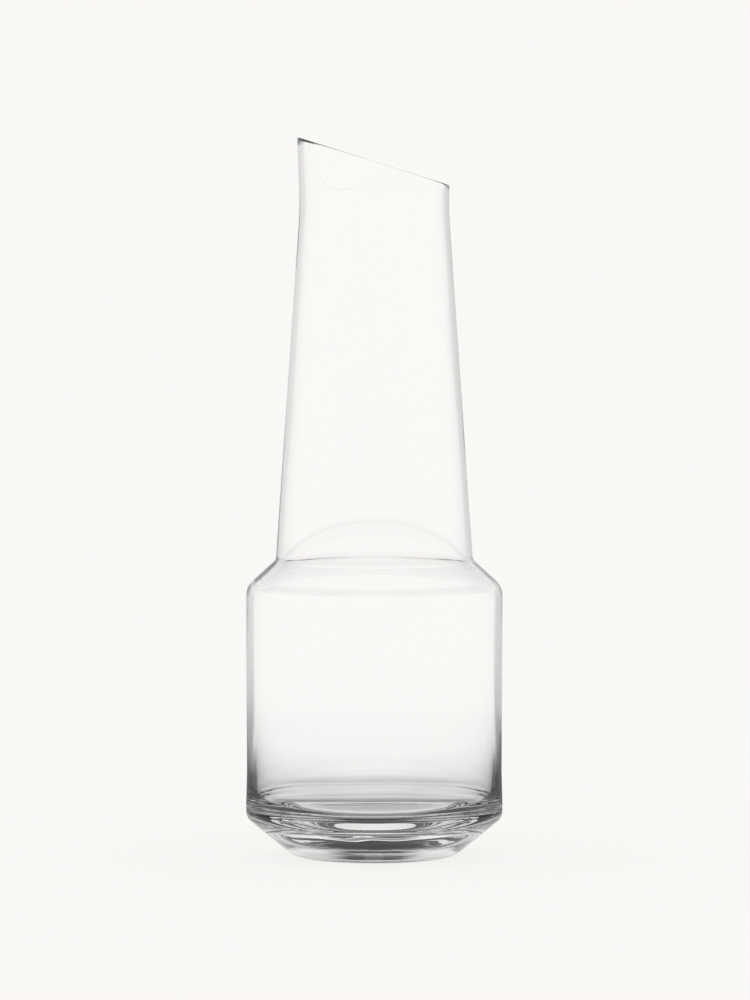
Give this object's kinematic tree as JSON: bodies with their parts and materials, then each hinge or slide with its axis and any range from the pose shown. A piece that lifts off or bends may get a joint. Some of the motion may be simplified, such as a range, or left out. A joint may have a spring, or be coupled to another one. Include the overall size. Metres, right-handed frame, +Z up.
{
  "type": "water carafe",
  "caption": "Clear glass water carafe with a slant-cut rim, tapering neck, cylindrical body and a thick chamfered base.",
  "frame": {"origin": "middle of the foot, in the plane of the table that the carafe stands on", "axes": "+Z up along the axis of the carafe; -X towards the high lip of the slanted rim, +X towards the low lip; +Y away from the picture's viewer"},
  "size_m": [0.1002, 0.1002, 0.2805],
  "materials": {
    "glass": "polished"
  },
  "bodies": {
    "root": {"glass_vessel": "glass"}
  },
  "joints": []
}
